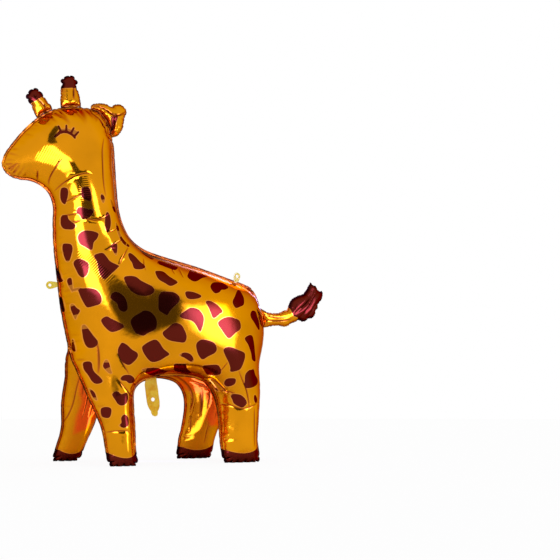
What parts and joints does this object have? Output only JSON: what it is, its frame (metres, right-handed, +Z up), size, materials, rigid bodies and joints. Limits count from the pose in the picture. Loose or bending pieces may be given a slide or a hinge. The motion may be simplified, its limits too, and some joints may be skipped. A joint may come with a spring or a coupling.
{
  "type": "giraffe foil balloon",
  "caption": "Inflated giraffe figure of shiny film, standing on splayed tube legs, with long neck, horns, folded ear, tufted tail, hanging tabs and a filling tab under the belly.",
  "frame": {"origin": "on the floor plane under the middle of the figure's length, in its middle plane", "axes": "+X from head to tail, so the head looks along -X; +Y to the flank without the filling tab; +Z up"},
  "size_m": [0.8608, 0.3334, 0.9031],
  "materials": {
    "gold_foil": "mirror gold film printed with burgundy spots and hooves",
    "tab_film": "thin see-through golden film"
  },
  "bodies": {
    "root": {"balloon": "gold_foil", "front_horn": "gold_foil", "rear_horn": "gold_foil", "ear": "gold_foil", "tail": "gold_foil", "chest_tab": "tab_film", "rump_tab": "tab_film", "filling_tab": "tab_film"}
  },
  "joints": []
}
